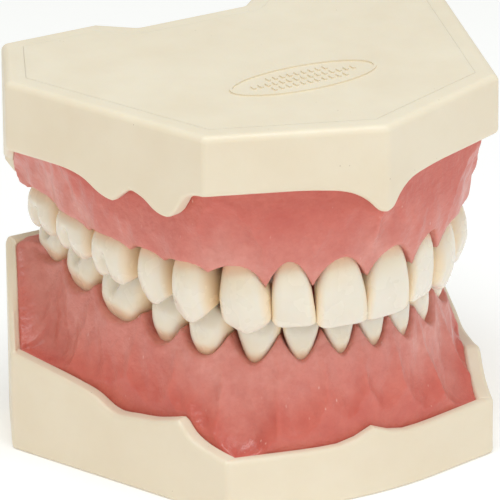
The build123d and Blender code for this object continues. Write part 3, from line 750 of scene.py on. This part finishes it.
# how far the gum stands out from the arch line at each tooth's neck, outside and inside
GUM_OUT = {
    "upper": (1.8, 2.0, 3.0, 4.7, 4.9, 5.7, 5.7, 5.2),
    "lower": (2.4, 2.4, 2.9, 4.4, 4.7, 5.6, 5.4, 5.1),
}
GUM_IN = {
    "upper": (6.7, 6.4, 6.6, 5.1, 5.1, 5.8, 5.8, 5.4),
    "lower": (5.2, 5.2, 5.8, 4.4, 4.6, 5.5, 5.5, 5.2),
}
# how far the gum climbs between the teeth, and how round its arch over each neck is
PAPILLA = {
    "upper": (4.4, 5.0, 3.0, 1.4, 1.7, 1.6, 1.2, 0.9),
    "lower": (4.4, 4.4, 4.2, 3.8, 3.4, 3.0, 2.6, 1.6),
}
SCALLOP = {
    "upper": (1.9, 1.9, 2.1, 2.2, 2.3, 2.5, 2.5, 2.5),
    "lower": (1.6, 1.6, 1.7, 2.1, 2.3, 2.6, 2.6, 2.6),
}
# how far the gum bulges over a root, its edge's drop from the neck, its play in the well, the
# palate's start and depth, the floor under the tongue, the play round the hinge block, and the
# cell size and corners of the grids
ROOT_BULGE = 0.42
MARGIN_LIFT = 0.25
GUM_PLAY = 0.12
VAULT_START = 39.6
VAULT_DEPTH = 10.5
TONGUE_FLOOR = 10.4
BLOCK_PLAY = 0.3
GUM_STEP = 0.36
GUM_CORNERS = {
    "upper": ((-37.0, 1.0, 31.0), (37.0, 61.0, 53.5)),
    "lower": ((-37.0, 3.0, 7.5), (37.0, 61.0, 33.0)),
}


def gum_margin(jaw, share, at_teeth):
    """Height of the gum's edge: low over each neck and high between the teeth."""
    neck = at_teeth([RISE[jaw] * row[2] for row in TEETH[jaw]])
    between = np.abs(np.clip(share, -0.5, 0.5)) * 2
    margin = neck + at_teeth(PAPILLA[jaw]) * between ** at_teeth(SCALLOP[jaw]) - MARGIN_LIFT
    return np.where(share > 0.5, neck + 1.0 - 1.5 * (share - 0.5), margin)


def gum_ripple(along, depth, rise):
    """Slight waves in the outer surface, away from its edge."""
    slanted = np.sin(along * 1.25 + rise * 0.55) * np.sin(along * 0.41 + 1.0)
    fine = np.sin(along * 2.3 - rise * 0.9)
    return 0.20 * slanted * ramp(depth, 3.0, 7.0) + 0.10 * fine * ramp(depth, 2.0, 5.0)


def gum_band(along, offset, share, out, inside, margin, rise):
    """The band of gum that stands over the ridge and holds the teeth."""
    depth = margin - rise
    root = np.cos(np.clip(share, -0.5, 0.5) * 2 * np.pi)
    between = np.abs(np.clip(share, -0.5, 0.5)) * 2
    bulge = ROOT_BULGE * root * np.exp(-(np.maximum(depth - 1.0, 0) / 6.0) ** 2)
    flare = 0.16 * np.maximum(depth, 0) + 0.020 * np.maximum(depth - 3, 0) ** 2
    hollow = -0.5 * between ** 3 * np.exp(-((depth - 0.5) / 2.2) ** 2)
    outer = offset - out - bulge - flare - hollow - gum_ripple(along, depth, rise)
    inner = -offset - inside - 0.30 * np.maximum(depth, 0)
    return smooth_max(smooth_max(outer * 0.93, inner * 0.9, 0.7), -depth * 0.7, 0.4)


def gum_inner_floor(jaw, x, y, offset, inside):
    """Height of the palate's vault, or of the floor of the tongue space."""
    if jaw == "upper":
        vault = VAULT_DEPTH * (1 - np.exp(-np.maximum(-offset - inside + 0.5, 0) / 5.5))
        folds = 0.22 * np.sin((y - 12) * 1.9) * bell(y, 19, 4.5) * ramp(np.abs(x), 0.3, 2.0)
        return folds - VAULT_START - vault
    return TONGUE_FLOOR + 0.15 * ramp(y, 20, 55)


def gum_field(jaw, arch, x, y, z):
    """The gum mask: a band over the ridge that flares into the well, with scalloped edges."""
    x, y = np.broadcast_arrays(x[:, :, 0], y[:, :, 0])
    rise = RISE[jaw] * z
    along, offset = arch.map(x, y)
    share = tooth_share(TEETH[jaw], along)

    def at_teeth(values):
        return along_teeth(TEETH[jaw], values)(along)

    def deep(plan):
        return plan[:, :, None]

    inside = at_teeth(GUM_IN[jaw])
    margin = gum_margin(jaw, share, at_teeth)
    band = gum_band(deep(along), deep(offset), deep(share), deep(at_teeth(GUM_OUT[jaw])), deep(inside),
                    deep(margin), rise)
    wall, column = polygon_distance(outline(jaw, wall_insets(1)), x, y)
    levels = edge_levels(jaw, outline(jaw, even(0)))[column]
    outer_floor = RISE[jaw] * levels - 0.35
    inner_floor = gum_inner_floor(jaw, x, y, offset, inside)
    inner_zone = ramp(-offset, 1.0, 4.0)
    filler = rise - deep(outer_floor * (1 - inner_zone) + inner_floor * inner_zone)
    field = np.maximum(smooth_min(band, filler, 3.0), deep(wall - GUM_PLAY))
    field = np.maximum(field, RISE[jaw] * FLAT[jaw] + WELL + 0.05 - rise)
    beside_block = np.maximum(np.abs(x) - BLOCK_HALF, BLOCK_FRONT - y) - BLOCK_PLAY
    return np.maximum(field, -deep(beside_block))


def make_gum(jaw, arch, material):
    """A gum mask from its field, with its depth in the fold and its nearness to the wall kept for the
    material's painted shade.
    """
    low, high = GUM_CORNERS[jaw]
    points, quads = surface_net(gum_field(jaw, arch, *grid(low, high, GUM_STEP)), low, GUM_STEP)
    points = relax(points, quads, 2)
    piece = add_mesh(f"{jaw}_gum_mask_skin", points, quads.tolist())
    fix_normals(piece)
    up = RISE[jaw]
    neck = np.interp(points[:, 1], [7, 60], [up * TEETH[jaw][0][2], up * TEETH[jaw][-1][2]])
    below_neck = np.clip((neck + 2.5 - up * points[:, 2]) / 12.0, 0, 1)
    wall = polygon_distance(outline(jaw, wall_insets(1)), points[:, :1], points[:, 1:2])[0][:, 0]
    # painted shade mask: near 0 by the teeth, rising towards 1 deep in the fold and at the wall
    store(piece, "gum_depth", 0.6 * below_neck + 0.4 * ramp(wall, -3.5, -0.3))
    return finish_piece(piece, f"{jaw}_jaw", "gum", material, f"{jaw}_gum_mask")


# ---------------------------------------------------------------- materials

class Nodes:
    """A short way to write a material's nodes."""

    def __init__(self, name):
        self.material = bpy.data.materials.new(name)
        self.material.use_nodes = True
        self.tree = self.material.node_tree
        self.shader = self.tree.nodes["Principled BSDF"]
        self.where = self.add("ShaderNodeTexCoord").outputs["Object"]

    def add(self, kind, **settings):
        node = self.tree.nodes.new(kind)
        for key, value in settings.items():
            if key in node.inputs:
                node.inputs[key].default_value = value
            else:
                setattr(node, key, value)
        return node

    def link(self, source, target):
        self.tree.links.new(source, target)

    def noise(self, scale, detail=3.0, roughness=0.55):
        node = self.add("ShaderNodeTexNoise", Scale=scale, Detail=detail, Roughness=roughness)
        self.link(self.where, node.inputs["Vector"])
        return node.outputs["Fac"]

    def spots(self, scale):
        node = self.add("ShaderNodeTexVoronoi", Scale=scale)
        self.link(self.where, node.inputs["Vector"])
        return node

    def span(self, source, low, high, to_low=0.0, to_high=1.0):
        node = self.add("ShaderNodeMapRange")
        self.link(source, node.inputs["Value"])
        node.inputs["From Min"].default_value = low
        node.inputs["From Max"].default_value = high
        node.inputs["To Min"].default_value = to_low
        node.inputs["To Max"].default_value = to_high
        return node.outputs["Result"]

    def mix(self, share, first, second, blend="MIX"):
        node = self.add("ShaderNodeMix", data_type="RGBA", blend_type=blend)
        self.set(node.inputs["Factor"], share)
        self.set(node.inputs[6], first)
        self.set(node.inputs[7], second)
        return node.outputs[2]

    def math(self, operation, first, second):
        node = self.add("ShaderNodeMath", operation=operation)
        self.set(node.inputs[0], first)
        self.set(node.inputs[1], second)
        return node.outputs[0]

    def set(self, socket, value):
        if isinstance(value, bpy.types.NodeSocket):
            self.link(value, socket)
        elif isinstance(value, tuple) and len(socket.default_value) == 4:
            socket.default_value = (*value, 1.0)
        else:
            socket.default_value = value

    def bump(self, height, strength, distance):
        node = self.add("ShaderNodeBump", Strength=strength, Distance=distance)
        self.link(height, node.inputs["Height"])
        self.link(node.outputs["Normal"], self.shader.inputs["Normal"])

    def socket(self, name, value):
        self.set(self.shader.inputs[name], value)


def srgb(red, green, blue):
    """Linear colour from the usual 0 to 255 values."""
    return tuple(((value / 255 + 0.055) / 1.055) ** 2.4 for value in (red, green, blue))


def ivory_plastic():
    """Moulded ivory plastic: a satin sheen, faint clouding and sparse dark specks."""
    n = Nodes("ivory_plastic")
    clouds = n.noise(90.0, 4.0)
    colour = n.mix(n.span(clouds, 0.35, 0.7), srgb(237, 226, 204), srgb(233, 220, 196))
    cells = n.spots(520.0)
    speck = n.span(cells.outputs["Distance"], 0.035, 0.06, 1.0, 0.0)
    chosen = n.math("GREATER_THAN", n.noise(700.0, 1.0), 0.60)
    share = n.math("MULTIPLY", n.math("MULTIPLY", speck, chosen), 0.5)
    colour = n.mix(share, colour, srgb(150, 120, 84))
    n.socket("Base Color", colour)
    n.socket("Roughness", n.span(n.noise(260.0, 5.0), 0.3, 0.7, 0.42, 0.56))
    n.socket("Subsurface Weight", 0.12)
    n.socket("Subsurface Radius", (0.004, 0.003, 0.0018))
    n.socket("Subsurface Scale", 0.4)
    n.socket("Coat Weight", 0.08)
    waviness = n.math("MULTIPLY", n.noise(220.0, 2.0), 2.0)
    n.bump(n.math("ADD", n.noise(1500.0, 3.0), waviness), 0.10, 0.0002)
    return n.material


def gum_silicone():
    """Pink silicone: painted shade makes it deeper red in the fold and by the wall, a painted highlight
    paler by the teeth; mottled, with pale fibres and a soft gloss.
    """
    n = Nodes("gum_silicone")
    depth = n.add("ShaderNodeAttribute", attribute_name="gum_depth").outputs["Fac"]
    mottle = n.noise(160.0, 5.0, 0.6)
    grain = n.noise(620.0, 6.0, 0.7)
    pale = n.mix(n.span(mottle, 0.3, 0.7), srgb(226, 154, 143), srgb(215, 132, 120))
    deep = n.mix(n.span(mottle, 0.3, 0.7), srgb(214, 116, 101), srgb(203, 97, 84))
    # painted shade: deeper red down in the fold and along the wall, with a painted highlight paler near
    # the teeth
    colour = n.mix(n.span(depth, 0.3, 0.95), pale, deep)
    colour = n.mix(n.span(grain, 0.42, 0.62, 0.0, 0.22), colour, srgb(190, 88, 78))
    stretch = n.add("ShaderNodeMapping")
    n.link(n.where, stretch.inputs["Vector"])
    stretch.inputs["Scale"].default_value = (1.0, 1.0, 0.32)
    stretch.inputs["Rotation"].default_value = (0.5, 0.3, 0.2)
    fibre = n.add("ShaderNodeTexVoronoi", Scale=900.0)
    n.link(stretch.outputs["Vector"], fibre.inputs["Vector"])
    thread = n.span(fibre.outputs["Distance"], 0.05, 0.14, 1.0, 0.0)
    rare = n.span(n.noise(420.0, 2.0), 0.54, 0.62)
    share = n.math("MULTIPLY", n.math("MULTIPLY", thread, rare), 0.55)
    colour = n.mix(share, colour, srgb(240, 205, 196))
    n.socket("Base Color", colour)
    n.socket("Roughness", n.span(n.noise(300.0, 4.0), 0.3, 0.7, 0.30, 0.46))
    n.socket("Subsurface Weight", 0.25)
    n.socket("Subsurface Radius", (0.006, 0.0026, 0.002))
    n.socket("Subsurface Scale", 0.3)
    n.socket("Coat Weight", 0.15)
    stipple = n.math("ADD", n.noise(1100.0, 3.0), n.math("MULTIPLY", n.noise(230.0, 4.0), 2.6))
    n.bump(stipple, 0.40, 0.0005)
    return n.material


def enamel_resin():
    """Tooth resin: warmer at the neck and paler towards the tip, with a painted warm glow at the neck
    and beside its neighbours.
    """
    n = Nodes("enamel_resin")
    height = n.add("ShaderNodeAttribute", attribute_name="crown_height").outputs["Fac"]
    clouds = n.noise(140.0, 3.0)
    neck = n.mix(n.span(clouds, 0.35, 0.65), srgb(240, 228, 204), srgb(237, 223, 196))
    body = n.mix(n.span(clouds, 0.35, 0.65), srgb(239, 233, 220), srgb(236, 229, 214))
    colour = n.mix(n.span(height, 0.0, 0.45), neck, body)
    colour = n.mix(n.span(height, 0.8, 1.05), colour, srgb(237, 231, 219))
    # painted glow: a strong peach tint just above the gum stands in for light through the resin and gum
    # and lifts the shade in the crevice
    colour = n.mix(n.span(height, 0.02, 0.20, 0.45, 0.0), colour, srgb(250, 208, 170))
    # painted glow: a warm tint towards each neighbour stands in for light through the resin and lifts
    # the shade between the teeth
    beside = n.add("ShaderNodeAttribute", attribute_name="contact").outputs["Fac"]
    colour = n.mix(n.span(beside, 0.70, 1.0, 0.0, 0.60), colour, srgb(250, 216, 164))
    n.socket("Base Color", colour)
    n.socket("Roughness", n.span(n.noise(300.0, 2.0), 0.3, 0.7, 0.25, 0.29))
    n.socket("Subsurface Weight", 0.45)
    n.socket("Subsurface Radius", (0.004, 0.0032, 0.0022))
    n.socket("Subsurface Scale", 0.3)
    n.socket("Coat Weight", 0.2)
    n.socket("Coat Roughness", 0.15)
    waves = n.add("ShaderNodeTexWave", bands_direction="Z", Scale=700.0, Distortion=4.0, Detail=2.0)
    n.link(n.where, waves.inputs["Vector"])
    growth_lines = n.math("MULTIPLY", waves.outputs["Fac"], 0.3)
    n.bump(n.math("ADD", growth_lines, n.noise(420.0, 2.0)), 0.03, 0.0002)
    return n.material


def brushed_steel():
    """Plain stainless steel with fine brushing."""
    n = Nodes("brushed_steel")
    stretch = n.add("ShaderNodeMapping")
    n.link(n.where, stretch.inputs["Vector"])
    stretch.inputs["Scale"].default_value = (60.0, 2500.0, 2500.0)
    brush = n.add("ShaderNodeTexNoise", Scale=1.0, Detail=4.0)
    n.link(stretch.outputs["Vector"], brush.inputs["Vector"])
    streaks = n.span(brush.outputs["Fac"], 0.3, 0.7)
    n.socket("Base Color", n.mix(streaks, (0.50, 0.50, 0.51), (0.66, 0.66, 0.67)))
    n.socket("Metallic", 1.0)
    n.socket("Roughness", n.span(brush.outputs["Fac"], 0.3, 0.7, 0.24, 0.40))
    n.bump(brush.outputs["Fac"], 0.12, 0.0001)
    return n.material


# ---------------------------------------------------------------- studio

# where the camera looks from, in degrees, its lens and sensor in millimetres, its distance in
# metres, and the plan millimetres that it looks at
AZIMUTH = 30.60
ELEVATION = 21.47
ROLL = -0.467
LENS = 473.1
SENSOR = 36.0
DISTANCE = 1.0033
TARGET = (-6.33, 30.0, 32.40)
LIGHT_TARGET = (0, 0, 0.03)
FLOOR_REACH = 3.0


def make_camera():
    """A long lens from the front right of the mouth, a little above."""
    turn, drop, roll = radians(AZIMUTH), radians(ELEVATION), radians(ROLL)
    forward = Vector((sin(turn) * cos(drop), cos(turn) * cos(drop), -sin(drop)))
    right = Vector((cos(turn), -sin(turn), 0))
    up = right.cross(forward)
    side = right * cos(roll) + up * sin(roll)
    rise = -right * sin(roll) + up * cos(roll)
    data = bpy.data.cameras.new("camera")
    data.lens = LENS
    data.sensor_width = SENSOR
    data.clip_end = 10.0
    camera = bpy.data.objects.new("camera", data)
    spot = Vector(place([TARGET])[0]) - forward * DISTANCE
    basis = Matrix((side, rise, -forward)).transposed().to_4x4()
    camera.matrix_world = Matrix.Translation(spot) @ basis
    bpy.context.scene.collection.objects.link(camera)
    bpy.context.scene.camera = camera


def area_light(name, spot, size, power, colour, shines=True):
    """A soft square light that faces the middle of the model."""
    data = bpy.data.lights.new(name, "AREA")
    data.size = size
    data.energy = power
    data.color = colour
    light = bpy.data.objects.new(name, data)
    light.location = spot
    light.visible_glossy = shines
    aim = Vector(LIGHT_TARGET) - Vector(spot)
    light.rotation_euler = aim.to_track_quat("-Z", "Y").to_euler()
    bpy.context.scene.collection.objects.link(light)


def make_surround():
    """A warm white world and colours shown as they are."""
    world = bpy.data.worlds.new("surround")
    world.use_nodes = True
    background = world.node_tree.nodes["Background"]
    background.inputs["Color"].default_value = (1.0, 0.965, 0.90, 1.0)
    background.inputs["Strength"].default_value = 0.47
    bpy.context.scene.world = world
    bpy.context.scene.view_settings.view_transform = "Standard"


def make_floor():
    """A plain pale floor under the model."""
    floor = bpy.data.meshes.new("floor")
    corners = [(x * FLOOR_REACH, y * FLOOR_REACH, 0) for x, y in ((-1, -1), (1, -1), (1, 1), (-1, 1))]
    floor.from_pydata(corners, [], [(0, 1, 2, 3)])
    n = Nodes("floor_paper")
    n.socket("Base Color", n.mix(n.span(n.noise(6.0), 0.3, 0.7), (0.93, 0.93, 0.93), (0.95, 0.95, 0.95)))
    n.socket("Roughness", 0.9)
    n.socket("Emission Color", (1.0, 1.0, 1.0))
    n.socket("Emission Strength", 0.16)
    floor.materials.append(n.material)
    stage = bpy.data.objects.new("floor", floor)
    bpy.context.scene.collection.objects.link(stage)


def make_lights():
    """A key light, a warm fill from the right of the mouth, a low fill and a broad top light."""
    area_light("key", (0.28, -0.45, 0.42), 0.22, 0.28, (0.94, 0.98, 1.0))
    area_light("fill", (-0.60, -0.25, 0.25), 0.5, 0.38, (1.0, 0.74, 0.40), shines=False)
    area_light("low", (0.10, -0.60, 0.04), 0.4, 0.42, (1.0, 0.95, 0.90), shines=False)
    area_light("top", (-0.08, -0.14, 0.70), 0.4, 2.9, (0.88, 0.96, 1.0))


# ---------------------------------------------------------------- assembly

def dress_cad_nodes(ivory, steel):
    """The cover plates, hinge parts and tooth screws get the materials of this scene."""
    for name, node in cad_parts.items():
        if name.endswith("cover_plate"):
            material = ivory
        elif "hinge" in name or name.endswith("tooth_screws"):
            material = steel
        else:
            continue
        node.data.materials.clear()
        node.data.materials.append(material)


def make_jaw(jaw, ivory, silicone, enamel):
    """One jaw: its base, its gum mask and sixteen teeth."""
    arch = Arch(*ARCHES[jaw])
    make_base(jaw, ivory)
    make_gum(jaw, arch, silicone)
    start = 0.0
    for row in TEETH[jaw]:
        for side in ("left", "right"):
            make_tooth(jaw, side, row, arch, start, enamel)
        start += row[1]


def main():
    """The camera, the studio, and both jaws."""
    make_camera()
    make_surround()
    make_floor()
    make_lights()
    ivory = ivory_plastic()
    silicone = gum_silicone()
    enamel = enamel_resin()
    dress_cad_nodes(ivory, brushed_steel())
    for jaw in JAWS:
        make_jaw(jaw, ivory, silicone, enamel)


main()
